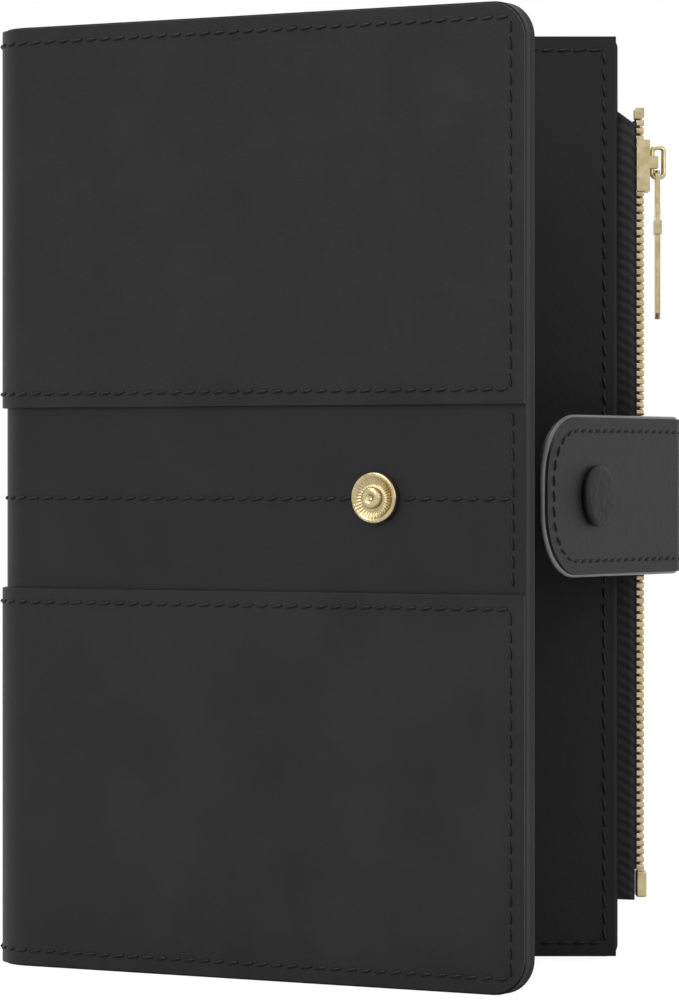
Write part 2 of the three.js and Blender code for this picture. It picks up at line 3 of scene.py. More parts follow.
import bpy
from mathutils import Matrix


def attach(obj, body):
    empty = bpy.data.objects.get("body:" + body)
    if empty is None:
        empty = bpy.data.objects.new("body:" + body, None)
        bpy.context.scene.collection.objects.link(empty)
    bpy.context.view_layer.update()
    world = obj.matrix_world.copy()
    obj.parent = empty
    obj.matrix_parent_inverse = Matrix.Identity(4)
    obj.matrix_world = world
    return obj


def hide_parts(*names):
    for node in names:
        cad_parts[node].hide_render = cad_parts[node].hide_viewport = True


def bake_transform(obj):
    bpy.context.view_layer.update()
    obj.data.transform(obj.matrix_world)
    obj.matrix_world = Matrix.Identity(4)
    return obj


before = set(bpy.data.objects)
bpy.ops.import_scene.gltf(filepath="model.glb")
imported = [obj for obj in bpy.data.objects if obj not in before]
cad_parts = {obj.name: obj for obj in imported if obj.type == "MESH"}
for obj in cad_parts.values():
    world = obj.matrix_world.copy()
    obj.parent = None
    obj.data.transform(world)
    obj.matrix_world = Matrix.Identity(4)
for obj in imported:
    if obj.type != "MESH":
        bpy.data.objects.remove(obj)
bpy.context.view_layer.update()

import logging
import math
from dataclasses import dataclass
from enum import Enum

import bmesh
import bpy
from mathutils import Vector

LOG = logging.getLogger("wallet")
MM = 0.001


class Body(Enum):
    """The wallet's moving bodies."""

    BACK = "back_half"
    FRONT = "front_cover"
    SLIDER = "slider"
    RING = "ring"
    PULL = "pull"


@dataclass(frozen=True)
class Station:
    """One place along a leather sheet, seen from above, with the run of the sheet's edge in height."""

    at: Vector
    out: Vector
    low: float
    high: float


def linear(code: str) -> tuple[float, float, float, float]:
    """Turns an sRGB hex colour into linear light.

    Args:
        code: the colour as "#rrggbb".

    Returns:
        The linear colour with an alpha of 1.
    """
    parts = [int(code[i : i + 2], 16) / 255 for i in (1, 3, 5)]
    light = [p / 12.92 if p <= 0.04045 else ((p + 0.055) / 1.055) ** 2.4 for p in parts]
    return (*light, 1.0)


def add_node(tree: bpy.types.NodeTree, kind: str, settings: dict | None = None, links: dict | None = None):
    """Adds one shader node.

    Args:
        tree: the material's or the world's node tree.
        kind: the node's type.
        settings: properties, or values of inputs, by name.
        links: output sockets by the name or number of the input that they feed.

    Returns:
        The new node.
    """
    made = tree.nodes.new(kind)
    for name, value in (settings or {}).items():
        if name in made.inputs:
            made.inputs[name].default_value = value
        else:
            setattr(made, name, value)
    for name, source in (links or {}).items():
        tree.links.new(source, made.inputs[name])
    return made


def blank_material(name: str) -> tuple[bpy.types.Material, bpy.types.NodeTree]:
    """Makes an empty node material and returns it with its tree.

    Args:
        name: the material's name.

    Returns:
        The material and its node tree.
    """
    made = bpy.data.materials.new(name)
    made.use_nodes = True
    made.node_tree.nodes.clear()
    return made, made.node_tree


@dataclass(frozen=True)
class Leather:
    """Corrected-grain cowhide, pressed nearly smooth: matt, softly mottled, with fine pores."""

    name: str
    dark: str
    light: str
    roughness: float = 0.5
    grain_mm: float = 0.5
    grain_depth: float = 0.25
    wrinkle_mm: float = 6.0
    wrinkle_depth: float = 0.12

    def build(self) -> bpy.types.Material:
        """Makes the material: cloudy colour, pore bump and slow wrinkles in object space."""
        made, tree = blank_material(self.name)
        place = add_node(tree, "ShaderNodeTexCoord").outputs["Object"]
        cloud = add_node(
            tree,
            "ShaderNodeTexNoise",
            {"Scale": 1 / (15 * MM), "Detail": 8.0, "Roughness": 0.6},
            {"Vector": place},
        )
        tint = add_node(tree, "ShaderNodeValToRGB", links={"Fac": cloud.outputs["Fac"]})
        tint.color_ramp.elements[0].position = 0.35
        tint.color_ramp.elements[0].color = linear(self.dark)
        tint.color_ramp.elements[1].position = 0.68
        tint.color_ramp.elements[1].color = linear(self.light)
        pores = add_node(
            tree,
            "ShaderNodeTexVoronoi",
            {"Scale": 1 / (self.grain_mm * MM), "feature": "SMOOTH_F1"},
            {"Vector": place},
        )
        wrinkles = add_node(
            tree,
            "ShaderNodeTexNoise",
            {"Scale": 1 / (self.wrinkle_mm * MM), "Detail": 6.0, "Distortion": 0.6},
            {"Vector": place},
        )
        fine = add_node(
            tree,
            "ShaderNodeBump",
            {"Strength": self.grain_depth, "Distance": 0.08 * MM},
            {"Height": pores.outputs["Distance"]},
        )
        slow = add_node(
            tree,
            "ShaderNodeBump",
            {"Strength": self.wrinkle_depth, "Distance": 0.8 * MM},
            {"Height": wrinkles.outputs["Fac"], "Normal": fine.outputs["Normal"]},
        )
        gloss = add_node(
            tree,
            "ShaderNodeMapRange",
            {"To Min": self.roughness - 0.06, "To Max": self.roughness + 0.08},
            {"Value": cloud.outputs["Fac"]},
        )
        shader = add_node(
            tree,
            "ShaderNodeBsdfPrincipled",
            {"IOR": 1.5, "Specular IOR Level": 0.26},
            {
                "Base Color": tint.outputs["Color"],
                "Roughness": gloss.outputs["Result"],
                "Normal": slow.outputs["Normal"],
            },
        )
        add_node(tree, "ShaderNodeOutputMaterial", links={"Surface": shader.outputs[0]})
        return made


@dataclass(frozen=True)
class Brass:
    """Pale plated brass, polished: bright, with slight handling marks."""

    name: str
    bright: str = "#e3d6b0"
    deep: str = "#9a8558"
    roughness: float = 0.22

    def build(self) -> bpy.types.Material:
        """Makes the material: a metal whose tint and gloss vary a little."""
        made, tree = blank_material(self.name)
        place = add_node(tree, "ShaderNodeTexCoord").outputs["Object"]
        marks = add_node(
            tree,
            "ShaderNodeTexNoise",
            {"Scale": 1 / (1.5 * MM), "Detail": 4.0},
            {"Vector": place},
        )
        tint = add_node(tree, "ShaderNodeValToRGB", links={"Fac": marks.outputs["Fac"]})
        tint.color_ramp.elements[0].color = linear(self.deep)
        tint.color_ramp.elements[1].color = linear(self.bright)
        gloss = add_node(
            tree,
            "ShaderNodeMapRange",
            {"To Min": self.roughness - 0.05, "To Max": self.roughness + 0.1},
            {"Value": marks.outputs["Fac"]},
        )
        shader = add_node(
            tree,
            "ShaderNodeBsdfPrincipled",
            {"Metallic": 1.0},
            {"Base Color": tint.outputs["Color"], "Roughness": gloss.outputs["Result"]},
        )
        add_node(tree, "ShaderNodeOutputMaterial", links={"Surface": shader.outputs[0]})
        return made


@dataclass(frozen=True)
class Webbing:
    """Woven polyester zip tape: dull black with a fine herringbone."""

    name: str
    dark: str = "#0e0e0f"
    light: str = "#2a2a2c"
    thread_mm: float = 0.45

    def build(self) -> bpy.types.Material:
        """Makes the material: slanted, distorted thread bands in two tones, with a matching bump."""
        made, tree = blank_material(self.name)
        place = add_node(tree, "ShaderNodeTexCoord").outputs["Object"]
        weave = add_node(
            tree,
            "ShaderNodeTexWave",
            {"Scale": 1 / (self.thread_mm * 6 * MM), "Distortion": 1.5, "bands_direction": "DIAGONAL"},
            {"Vector": place},
        )
        tint = add_node(tree, "ShaderNodeValToRGB", links={"Fac": weave.outputs["Fac"]})
        tint.color_ramp.elements[0].color = linear(self.dark)
        tint.color_ramp.elements[1].color = linear(self.light)
        bump = add_node(
            tree,
            "ShaderNodeBump",
            {"Strength": 0.5, "Distance": 0.1 * MM},
            {"Height": weave.outputs["Fac"]},
        )
        shader = add_node(
            tree,
            "ShaderNodeBsdfPrincipled",
            {"Roughness": 0.85, "Sheen Weight": 0.2},
            {"Base Color": tint.outputs["Color"], "Normal": bump.outputs["Normal"]},
        )
        add_node(tree, "ShaderNodeOutputMaterial", links={"Surface": shader.outputs[0]})
        return made


def finish_mesh(obj: bpy.types.Object, material: bpy.types.Material, bevel_mm: float) -> bpy.types.Object:
    """Rounds an object's hard edges, smooths its shading and gives it a material.

    Args:
        obj: the mesh object.
        material: its finish.
        bevel_mm: the width of the rounding, or 0 for none.

    Returns:
        The same object.
    """
    obj.data.materials.clear()
    obj.data.materials.append(material)
    obj.data.shade_smooth()
    if bevel_mm > 0:
        bevel = obj.modifiers.new("round", "BEVEL")
        bevel.width = bevel_mm * MM
        bevel.segments = 3
        bevel.limit_method = "ANGLE"
        bevel.angle_limit = math.radians(35)
    weigh = obj.modifiers.new("weigh", "WEIGHTED_NORMAL")
    weigh.keep_sharp = True
    return obj


def mesh_object(name: str, points: list, faces: list) -> bpy.types.Object:
    """Makes an object from points in millimetres and faces.

    Args:
        name: the piece's name.
        points: corners in millimetres.
        faces: corner numbers of each face.

    Returns:
        The linked object, with outward faces.
    """
    mesh = bpy.data.meshes.new(name)
    mesh.from_pydata([Vector(p) * MM for p in points], [], faces)
    shape = bmesh.new()
    shape.from_mesh(mesh)
    bmesh.ops.recalc_face_normals(shape, faces=shape.faces)
    shape.to_mesh(mesh)
    shape.free()
    obj = bpy.data.objects.new(name, mesh)
    bpy.context.scene.collection.objects.link(obj)
    return obj


def sheet_of(name: str, stations: list, inner: float, outer: float) -> bpy.types.Object:
    """Builds a leather sheet that follows stations, between two distances from their line.

    Args:
        name: the piece's name.
        stations: places along the sheet.
        inner: distance of the inner face in millimetres.
        outer: distance of the outer face in millimetres.

    Returns:
        The sheet as a closed mesh.
    """
    points, faces = [], []
    for i, s in enumerate(stations):
        a, b = s.at + s.out * inner, s.at + s.out * outer
        points += [(a.x, a.y, s.low), (a.x, a.y, s.high), (b.x, b.y, s.high), (b.x, b.y, s.low)]
        if i:
            for k in range(4):
                p, q = 4 * i - 4 + k, 4 * i - 4 + (k + 1) % 4
                faces.append((p, q, q + 4, p + 4))
    last = 4 * (len(stations) - 1)
    faces += [(0, 1, 2, 3), (last + 3, last + 2, last + 1, last)]
    return mesh_object(name, points, faces)


def copy_of(node: str, name: str, weld_mm: float = 0.01) -> bpy.types.Object:
    """Copies a CAD node's shape, with its flat faces whole, so that its edges can be rounded.

    Args:
        node: the CAD node.
        name: the new piece's name.
        weld_mm: distance under which corners join.

    Returns:
        The copy.
    """
    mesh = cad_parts[node].data.copy()
    mesh.name = name
    shape = bmesh.new()
    shape.from_mesh(mesh)
    bmesh.ops.remove_doubles(shape, verts=shape.verts, dist=weld_mm * MM)
    bmesh.ops.dissolve_limit(shape, angle_limit=math.radians(1), verts=shape.verts, edges=shape.edges)
    shape.to_mesh(mesh)
    shape.free()
    obj = bpy.data.objects.new(name, mesh)
    bpy.context.scene.collection.objects.link(obj)
    return obj


def stitches(name: str, line: list, pitch: float = 2.6, length: float = 2.0, radius: float = 0.26):
    """Lays thread stitches along a line on a surface.

    Args:
        name: the piece's name.
        line: pairs of a place and the surface's outward direction, in millimetres.
        pitch: distance between stitches.
        length: length of the visible thread of one stitch.
        radius: the thread's radius.

    Returns:
        All the stitches as one mesh object.
    """
    lengths = [0.0]
    for (a, _), (b, _) in zip(line, line[1:]):
        lengths.append(lengths[-1] + (b - a).length)
    count = max(int(lengths[-1] / pitch), 1)
    points, faces = [], []
    segment = 0
    for n in range(count):
        middle = (n + 0.5) * lengths[-1] / count
        while lengths[segment + 1] < middle:
            segment += 1
        (a, na), (b, nb) = line[segment], line[segment + 1]
        share = (middle - lengths[segment]) / (lengths[segment + 1] - lengths[segment])
        centre = a.lerp(b, share)
        out = na.lerp(nb, share).normalized()
        along = (b - a).normalized()
        side = out.cross(along)
        along = (along + side * 0.16).normalized()
        side = out.cross(along)
        base = len(points)
        for k, (step, size) in enumerate([(-0.5, 0.35), (-0.4, 0.8), (0, 1), (0.4, 0.8), (0.5, 0.35)]):
            sink = 0.12 * (2 * step) ** 2
            ring = centre + along * (length * step) + out * (radius * 0.45 - sink)
            for j in range(8):
                angle = math.tau * j / 8
                points.append(ring + (side * math.cos(angle) + out * math.sin(angle)) * (radius * size))
                if k:
                    p = base + 8 * (k - 1) + j
                    q = base + 8 * (k - 1) + (j + 1) % 8
                    faces.append((p, q, q + 8, p + 8))
        faces.append(tuple(base + j for j in range(8)))
        faces.append(tuple(base + 32 + j for j in reversed(range(8))))
    return mesh_object(name, points, faces)


def bead_of(name: str, line: list, radius: float) -> bpy.types.Object:
    """Lays a bead of edge paint along a sheet's edge; its light grey finish is a painted highlight of the glossy edge.

    Args:
        name: the piece's name.
        line: pairs of a place and the surface's outward direction, in millimetres.
        radius: the bead's radius.

    Returns:
        The bead.
    """
    points, faces = [], []
    for n, (place, out) in enumerate(line):
        before, after = line[max(n - 1, 0)][0], line[min(n + 1, len(line) - 1)][0]
        side = (after - before).normalized().cross(out)
        for k in range(8):
            angle = math.tau * k / 8
            points.append(place + (side * math.cos(angle) + out * math.sin(angle)) * radius)
            if n:
                p, q = 8 * (n - 1) + k, 8 * (n - 1) + (k + 1) % 8
                faces.append((p, q, q + 8, p + 8))
    last = 8 * (len(line) - 1)
    faces.append(tuple(range(8)))
    faces.append(tuple(last + k for k in reversed(range(8))))
    return mesh_object(name, points, faces)


@dataclass
class Covers:
    """The back, spine and front in one folded sheet, with the wrapped panels, lining and sleeve."""

    height: float = 150.0
    back_right: float = 47.9
    bend_x: float = -43.5
    rear_bend_y: float = -6.4
    front_bend_y: float = -9.6
    skin_radius: float = 8.0
    open_degrees: float = 30.0
    front_length: float = 90.0
    corner: float = 5.5
    panel_skin: float = 0.7
    sheet_outside: float = 0.8
    sheet_inside: float = 2.3
    panel_inset: float = 0.3
    upper_edge: float = 89.2
    lower_edge: float = 60.4
    seam: float = 2.3
    hem: float = 2.2
    middle: float = 74.8
    stud_at: float = 64.2
    stud_clear: float = 4.4
    strap_start: float = 5.0

    @property
    def pivot(self) -> Vector:
        """The hinge line, on the outer skin."""
        turn = math.radians(270 - self.open_degrees)
        return Vector(
            (
                self.bend_x + self.skin_radius * math.cos(turn),
                self.front_bend_y + self.skin_radius * math.sin(turn),
                0.0,
            )
        )

    @property
    def along(self) -> Vector:
        """The direction of the front cover, from the hinge to its free edge."""
        turn = math.radians(self.open_degrees)
        return Vector((math.cos(turn), -math.sin(turn), 0.0))

    @property
    def out(self) -> Vector:
        """The front cover's outward direction."""
        turn = math.radians(self.open_degrees)
        return Vector((-math.sin(turn), -math.cos(turn), 0.0))

    def on_front(self, u: float, z: float, depth: float = 0.0) -> Vector:
        """Gives a point on the front cover.

        Args:
            u: distance from the hinge.
            z: height.
            depth: distance in from the outer skin.

        Returns:
            The point in millimetres.
        """
        place = self.pivot + self.along * u - self.out * depth
        return Vector((place.x, place.y, z))

    def skin(self) -> list:
        """Lists the outer skin's places and outward directions, from the back's free edge to the hinge."""
        places = []
        top = self.rear_bend_y + self.skin_radius
        for k in range(17):
            x = self.back_right + (self.bend_x - self.back_right) * k / 16
            places.append((Vector((x, top, 0)), Vector((0, 1, 0))))
        bends = [(self.rear_bend_y, 90, 180), (self.front_bend_y, 180, 270 - self.open_degrees)]
        for y, start, end in bends:
            steps = round((end - start) / 5)
            for k in range(steps + 1):
                turn = math.radians(start + (end - start) * k / steps)
                out = Vector((math.cos(turn), math.sin(turn), 0))
                if k or y != self.rear_bend_y:
                    places.append((Vector((self.bend_x, y, 0)) + out * self.skin_radius, out))
        return places

    def stations(self, low: float, high: float, low_round: bool, high_round: bool) -> list:
        """Lists the stations of a sheet that wraps back, spine and front.

        Args:
            low: its lower edge.
            high: its upper edge.
            low_round: whether the front's lower corner is rounded.
            high_round: whether the front's upper corner is rounded.

        Returns:
            Stations from the back's free edge to the front's.
        """
        made = [Station(at, out, low, high) for at, out in self.skin()]
        straight = self.front_length - self.corner
        runs = [1, 2, 3, 4, 5, 6, 8, 10, 14] + [14 + (straight - 14) * k / 10 for k in range(1, 11)]
        runs += [straight + self.corner * math.sin(math.radians(10 * k)) for k in range(1, 10)]
        for u in runs:
            into = max(u - straight, 0)
            trim = self.corner - math.sqrt(max(self.corner**2 - into**2, 0))
            trim = min(trim, self.corner - 0.2)
            lower = low + (trim if low_round else 0)
            upper = high - (trim if high_round else 0)
            made.append(Station(self.on_front(u, 0), self.out, lower, upper))
        return made

    def build(self) -> dict:
        """Makes the folded sheet, the two wrapped panels and the inner layers."""
        sheet = sheet_of(
            "folded_cover",
            self.stations(0, self.height, True, True),
            -self.sheet_inside,
            -self.sheet_outside,
        )
        top = self.height - self.panel_inset
        upper = sheet_of(
            "upper_panel", self.stations(self.upper_edge, top, False, True), -self.panel_skin, 0
        )
        lower = sheet_of(
            "lower_panel",
            self.stations(self.panel_inset, self.lower_edge, True, False),
            -self.panel_skin,
            0,
        )
        return {
            "sheet": sheet,
            "upper": upper,
            "lower": lower,
            "lining": copy_of("cover_lining", "front_lining"),
            "sleeve": copy_of("passport_sleeve", "sleeve"),
        }

    def seam_line(self, z: float, depth: float = 0.0) -> list:
        """Gives a level stitch line round back, spine and front at a height.

        Args:
            z: the line's height.
            depth: distance in from the outer skin.

        Returns:
            Pairs of a place and an outward direction.
        """
        line = [(at - out * depth + Vector((0, 0, z)), out) for at, out in self.skin()]
        line = [pair for pair in line if pair[0].x < self.back_right - self.seam or pair[1].y < 0.9]
        end = self.front_length - self.seam
        line += [(self.on_front(end * k / 12, z, depth), self.out) for k in range(1, 13)]
        return line

    def upright(self, u: float, low: float, high: float, depth: float) -> list:
        """Gives a vertical stitch line on the front cover."""
        steps = 8
        return [
            (self.on_front(u, low + (high - low) * k / steps, depth), self.out)
            for k in range(steps + 1)
        ]

    def back_upright(self, low: float, high: float, depth: float) -> list:
        """Gives a vertical stitch line along the back's free edge."""
        y = self.rear_bend_y + self.skin_radius - depth
        x = self.back_right - self.seam
        return [(Vector((x, y, low)), Vector((0, 1, 0))), (Vector((x, y, high)), Vector((0, 1, 0)))]

    def middle_line(self) -> list:
        """Gives the seam across the middle band, from the strap on the back to the stud."""
        inside = self.sheet_outside
        line = [(at - out * inside + Vector((0, 0, self.middle)), out) for at, out in self.skin()]
        line = [pair for pair in line if pair[0].x < self.strap_start]
        stop = self.stud_at - self.stud_clear
        return line + [(self.on_front(stop * k / 10, self.middle, inside), self.out) for k in range(1, 11)]

    def beyond_stud(self, end: float) -> list:
        """Gives the middle seam's last run, from the stud to the border seam."""
        start = self.stud_at + self.stud_clear
        ends = (start, (start + end) / 2, end)
        return [(self.on_front(u, self.middle, self.sheet_outside), self.out) for u in ends]

    def border(self) -> tuple[list, list]:
        """Gives the level seams and the upright seams, each by name and line."""
        high = self.height - self.seam - self.panel_inset
        low = self.seam + self.panel_inset
        upper_hem, lower_hem = self.upper_edge + self.hem, self.lower_edge - self.hem
        end = self.front_length - self.seam
        lines = [
            ("seam_top", self.seam_line(high)),
            ("seam_upper_hem", self.seam_line(upper_hem)),
            ("seam_lower_hem", self.seam_line(lower_hem)),
            ("seam_bottom", self.seam_line(low)),
            ("seam_middle", self.middle_line()),
        ]
        uprights = [
            ("seam_front_upper", self.upright(end, upper_hem, high, 0)),
            ("seam_front_lower", self.upright(end, low, lower_hem, 0)),
            ("seam_front_middle", self.upright(end, self.lower_edge + 1, self.upper_edge - 1, 0.8)),
            ("seam_front_centre", self.beyond_stud(end)),
            ("seam_back_upper", self.back_upright(upper_hem, high, 0)),
            ("seam_back_lower", self.back_upright(low, lower_hem, 0)),
        ]
        return lines, uprights

    def dress(self, parts: dict, finishes: dict) -> None:
        """Gives the cover's pieces their finish, hides the CAD nodes they replace, and hangs the lining, sleeve and
        upright seams on their bodies.

        Args:
            parts: the pieces from build.
            finishes: materials by name.
        """
        wraps = [
            (parts["sheet"], "band", "outer_leather", ("cover_back", "cover_front"), 0.5),
            (parts["upper"], "leather", "panel_leather", ("upper_panel_back", "upper_panel_front"), 0.3),
            (parts["lower"], "leather", "panel_leather", ("lower_panel_back", "lower_panel_front"), 0.3),
        ]
        for piece, finish, slot, nodes, bevel in wraps:
            finish_mesh(piece, finishes[finish], bevel)
            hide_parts(*nodes)
            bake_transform(piece)
            LOG.info("made %s", piece.name)
        for piece, node, bevel in [(parts["lining"], "cover_lining", 0.5), (parts["sleeve"], "passport_sleeve", 0.25)]:
            finish_mesh(piece, finishes["lining"], bevel)
            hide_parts(node)
            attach(piece, Body.FRONT.value)
            LOG.info("made %s", piece.name)
        lines, uprights = self.border()
        for name, line in lines:
            piece = finish_mesh(stitches(name, line), finishes["thread"], 0)
            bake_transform(piece)
        for name, line in uprights:
            piece = finish_mesh(stitches(name, line), finishes["thread"], 0)
            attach(piece, Body.BACK.value if "back" in name else Body.FRONT.value)


@dataclass
class ZipPocket:
    """The pocket on the back half: inner panel, gusset, tapes, chain, stops, slider, ring and pull."""

    left: float = -40.0
    right: float = 47.9
    low: float = 0.5
    high: float = 149.5
    front_y: float = -5.8
    seam: float = 2.2

    def build(self) -> dict:
        """Copies the pocket's CAD shapes for rounding."""
        return {
            "inner_panel": copy_of("inner_panel", "pocket_panel"),
            "pocket_gusset": copy_of("pocket_gusset", "gusset"),
            "zip_slider": copy_of("zip_slider", "slider_body"),
            "pull_tab": copy_of("pull_tab", "pull_plate"),
            "zip_bottom_stop": copy_of("zip_bottom_stop", "chain_stop"),
        }

    def dress(self, parts: dict, finishes: dict) -> None:
        """Gives the pocket's pieces and nodes their finish.

        Args:
            parts: the pieces from build.
            finishes: materials by name.
        """
        plan = [
            ("inner_panel", "lining", "lining_leather", Body.BACK, 0.4),
            ("pocket_gusset", "lining", "lining_leather", Body.BACK, 0.3),
            ("zip_slider", "brass", "zip_brass", Body.SLIDER, 0.14),
            ("pull_tab", "brass", "zip_brass", Body.PULL, 0.16),
            ("zip_bottom_stop", "brass", "zip_brass", Body.BACK, 0.3),
        ]
        for node, finish, slot, body, bevel in plan:
            piece = finish_mesh(parts[node], finishes[finish], bevel)
            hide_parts(node)
            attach(piece, body.value)
            LOG.info("made %s", piece.name)
        out = Vector((0, -1, 0))
        right, top, bottom = self.right - self.seam, self.high - self.seam, self.low + self.seam
        corners = [(self.left + 2, top), (right, top), (right, bottom), (self.left + 2, bottom)]
        for n, ((x0, z0), (x1, z1)) in enumerate(zip(corners, corners[1:])):
            line = [(Vector((x0, self.front_y, z0)), out), (Vector((x1, self.front_y, z1)), out)]
            piece = finish_mesh(stitches(f"seam_pocket_{n}", line), finishes["thread"], 0)
            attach(piece, Body.BACK.value)


@dataclass
class ZipChain:
    """The two rows of separate teeth, and the cord that each row is sewn on."""

    middle_y: float = -2.6
    near: float = 50.9
    far: float = 52.2
    cord_far: float = 51.55
    cord_near: float = 50.6
    tip: float = 0.45
    root: float = 2.0
    base: float = 2.62
    height: float = 0.62
    pitch: float = 1.27
    start: float = 14.6
    end: float = 136.2

    def tooth(self, side: int, low: float) -> list:
        """Lists a tooth's eight points at a waist and a head, with slanted flanks.

        Args:
            side: -1 for the front row, 1 for the rear row.
            low: height of its lower face.

        Returns:
            Rings of four points from the root to the tip.
        """
        rings = []
        for reach, grow in [(self.base, 0.12), (self.root, 0.1), (1.2, 0.0), (0.9, 0.06), (self.tip, -0.1)]:
            y = self.middle_y + side * reach
            bottom, top = low - grow, low + self.height + grow
            rings.append([(self.near, y, bottom), (self.far, y, bottom), (self.far, y, top), (self.near, y, top)])
        return rings

    def build(self) -> dict:
        """Makes both rows of teeth and both cords."""
        made = {}
        for name, side, shift in [("front", -1, 0.0), ("rear", 1, self.pitch / 2)]:
            points, faces = [], []
            count = int((self.end - self.start - shift - self.height) / self.pitch) + 1
            for n in range(count):
                base = len(points)
                rings = self.tooth(side, self.start + shift + n * self.pitch)
                for r, ring in enumerate(rings):
                    points += ring
                    for k in range(4):
                        if r:
                            p, q = base + 4 * r - 4 + k, base + 4 * r - 4 + (k + 1) % 4
                            faces.append((p, q, q + 4, p + 4))
                faces.append(tuple(base + k for k in range(4)))
                faces.append(tuple(base + 16 + k for k in reversed(range(4))))
            made[name] = mesh_object(f"teeth_{name}", points, faces)
            made[f"cord_{name}"] = self.cord(name, side)
        return made

    def cord(self, name: str, side: int) -> bpy.types.Object:
        """Makes the woven cord along one row, with a slight swell over each tooth.

        Args:
            name: the row's name.
            side: -1 for the front row, 1 for the rear row.

        Returns:
            The cord.
        """
        centre = Vector(((self.cord_near + self.cord_far) / 2, self.middle_y + side * 2.3, 0))
        half_x, half_y = (self.cord_far - self.cord_near) / 2, 0.3
        points, faces = [], []
        steps = int((self.end - self.start) / self.pitch) * 4
        for n in range(steps + 1):
            z = self.start + (self.end - self.start) * n / steps
            swell = 1 - 0.12 * (n % 4 in (1, 2))
            for k in range(10):
                angle = math.tau * k / 10
                x = centre.x + half_x * swell * math.cos(angle)
                points.append((x, centre.y + half_y * math.sin(angle), z))
                if n:
                    p, q = 10 * (n - 1) + k, 10 * (n - 1) + (k + 1) % 10
                    faces.append((p, q, q + 10, p + 10))
        last = 10 * steps
        faces.append(tuple(range(10)))
        faces.append(tuple(last + k for k in reversed(range(10))))
        return mesh_object(f"tape_cord_{name}", points, faces)

    def dress(self, parts: dict, finishes: dict) -> None:
        """Gives teeth and cords their finish and body.

        Args:
            parts: the pieces from build.
            finishes: materials by name.
        """
        for name in ("front", "rear"):
            teeth = finish_mesh(parts[name], finishes["brass"], 0.1)
            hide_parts(f"zip_teeth_{name}")
            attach(teeth, Body.BACK.value)
            cord = finish_mesh(parts[f"cord_{name}"], finishes["webbing"], 0)
            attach(cord, Body.BACK.value)
            LOG.info("made %s and %s", teeth.name, cord.name)


@dataclass
class Strap:
    """The closing strap, folded round the zip, with its seam and the covered snap cap."""

    low: float = 62.9
    high: float = 87.5
    start_x: float = 8.0
    fold_x: float = 52.7
    fold_y: float = -2.6
    fold_radius: float = 3.6
    fold_degrees: float = 120.7
    straight: float = 44.0
    tip_radius: float = 10.0
    lining: float = 0.8
    gap: float = 0.1
    outer: float = 0.9
    seam: float = 2.1
    bead: float = 0.42

    def stations(self, inset: float = 0.0) -> list:
        """Lists the stations of the strap's inner face.

        Args:
            inset: distance in from the strap's edge, for its seam.

        Returns:
            Stations from the seam on the back to the tip.
        """
        centre = Vector((self.fold_x, self.fold_y, 0))
        low, high = self.low + inset, self.high - inset
        back = Vector((0, 1, 0))
        made = []
        for k in range(9):
            x = self.start_x + inset + (self.fold_x - self.start_x - inset) * k / 9
            made.append(Station(Vector((x, self.fold_y + self.fold_radius, 0)), back, low, high))
        steps = 30
        for k in range(steps + 1):
            turn = math.radians(90 - self.fold_degrees * k / steps)
            out = Vector((math.cos(turn), math.sin(turn), 0))
            made.append(Station(centre + out * self.fold_radius, out, low, high))
        last = made[-1]
        heading = Vector((last.out.y, -last.out.x, 0))
        tip = self.straight - self.tip_radius
        radius = self.tip_radius - inset
        runs = [tip * k / 10 for k in range(1, 11)]
        runs += [tip + radius * math.sin(math.radians(7.5 * k)) for k in range(1, 13)]
        for run in runs:
            into = max(run - tip, 0)
            trim = radius - math.sqrt(max(radius**2 - into**2, 0))
            made.append(Station(last.at + heading * run, last.out, low + trim, high - trim))
        return made

    def build(self) -> dict:
        """Makes the strap's two layers and copies the cap and the socket."""
        start = self.lining + self.gap
        return {
            "lining": sheet_of("strap_inside", self.stations(), 0, self.lining),
            "outer": sheet_of("strap_outside", self.stations(), start, start + self.outer),
            "cap": copy_of("snap_cap", "covered_cap"),
            "socket": copy_of("snap_socket", "socket"),
        }

    def dress(self, parts: dict, finishes: dict) -> None:
        """Gives the strap's pieces their finish and body.

        Args:
            parts: the pieces from build.
            finishes: materials by name.
        """
        plan = [
            ("lining", "strap", "strap_leather", "strap_lining", 0.25),
            ("outer", "strap", "strap_leather", "strap_outer", 0.35),
            ("cap", "wrinkled", "cap_leather", "snap_cap", 0.8),
            ("socket", "brass", "snap_brass", "snap_socket", 0.15),
        ]
        for key, finish, slot, node, bevel in plan:
            piece = finish_mesh(parts[key], finishes[finish], bevel)
            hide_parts(node)
            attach(piece, Body.BACK.value)
            LOG.info("made %s", piece.name)
        total = self.lining + self.gap + self.outer
        path = self.stations(self.seam)
        upper = [(s.at + s.out * total + Vector((0, 0, s.high)), s.out) for s in path]
        lower = [(s.at + s.out * total + Vector((0, 0, s.low)), s.out) for s in reversed(path)]
        line = upper + lower
        # Bead of edge paint round the strap's rim: its light grey colour is a painted highlight, standing for the
        # white studio reflected in the glossy edge.
        rim = self.stations()
        middle = self.lining + self.gap
        paint = [(s.at + s.out * middle + Vector((0, 0, s.high)), s.out) for s in rim]
        paint += [(s.at + s.out * middle + Vector((0, 0, s.low)), s.out) for s in reversed(rim[:-1])]
        bead = finish_mesh(bead_of("edge_paint_highlight", paint, self.bead), finishes["paint"], 0)
        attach(bead, Body.BACK.value)
        piece = finish_mesh(stitches("seam_strap", line, 2.4, 1.8, 0.24), finishes["thread"], 0)
        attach(piece, Body.BACK.value)


